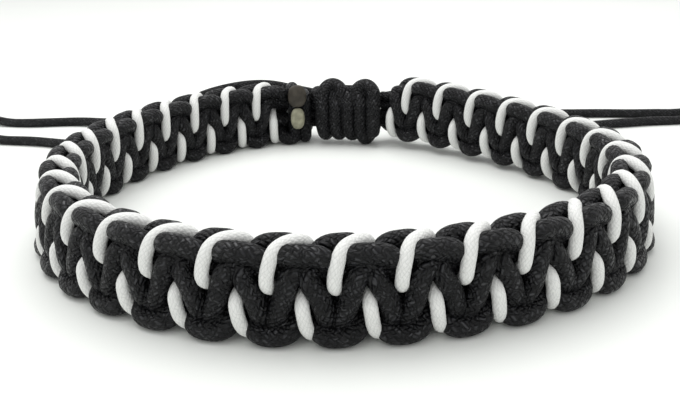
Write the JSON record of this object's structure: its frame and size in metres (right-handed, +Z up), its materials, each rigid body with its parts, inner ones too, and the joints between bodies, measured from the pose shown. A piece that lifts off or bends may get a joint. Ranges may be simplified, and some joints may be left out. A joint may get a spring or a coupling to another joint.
{
  "type": "knotted cord bracelet",
  "caption": "Bracelet of thick knotted black cord laced with white cord over both edges, closed by a sliding knot with free cord ends.",
  "frame": {"origin": "middle of the band's box on the surface that the band's lower edge stands on; towards the closure its last end stands about 1 mm off the surface", "axes": "+Z up, along the wrist; +Y towards the sliding knot at the back; +X to the right seen from the front"},
  "size_m": [0.1265, 0.072, 0.01],
  "materials": {
    "black_cord": "fine braided nylon cord, slightly glossy",
    "white_cord": "fine smooth braided cord, matte",
    "melted_black": "melted and pressed nylon, smooth",
    "melted_white": "melted and pressed cord, cream, smooth"
  },
  "bodies": {
    "root": {"knotted_band": "black_cord", "white_loops_upper": "white_cord", "white_loops_lower": "white_cord", "neck_left": "black_cord", "neck_right": "black_cord", "sliding_knot": "black_cord", "melted_black_end": "melted_black", "melted_white_end": "melted_white", "tail_left_upper": "black_cord", "tail_left_lower": "black_cord", "tail_right_upper": "black_cord", "tail_right_lower": "black_cord", "stop_knot_left_upper": "black_cord", "stop_knot_left_lower": "black_cord", "stop_knot_right_upper": "black_cord", "stop_knot_right_lower": "black_cord"}
  },
  "joints": []
}
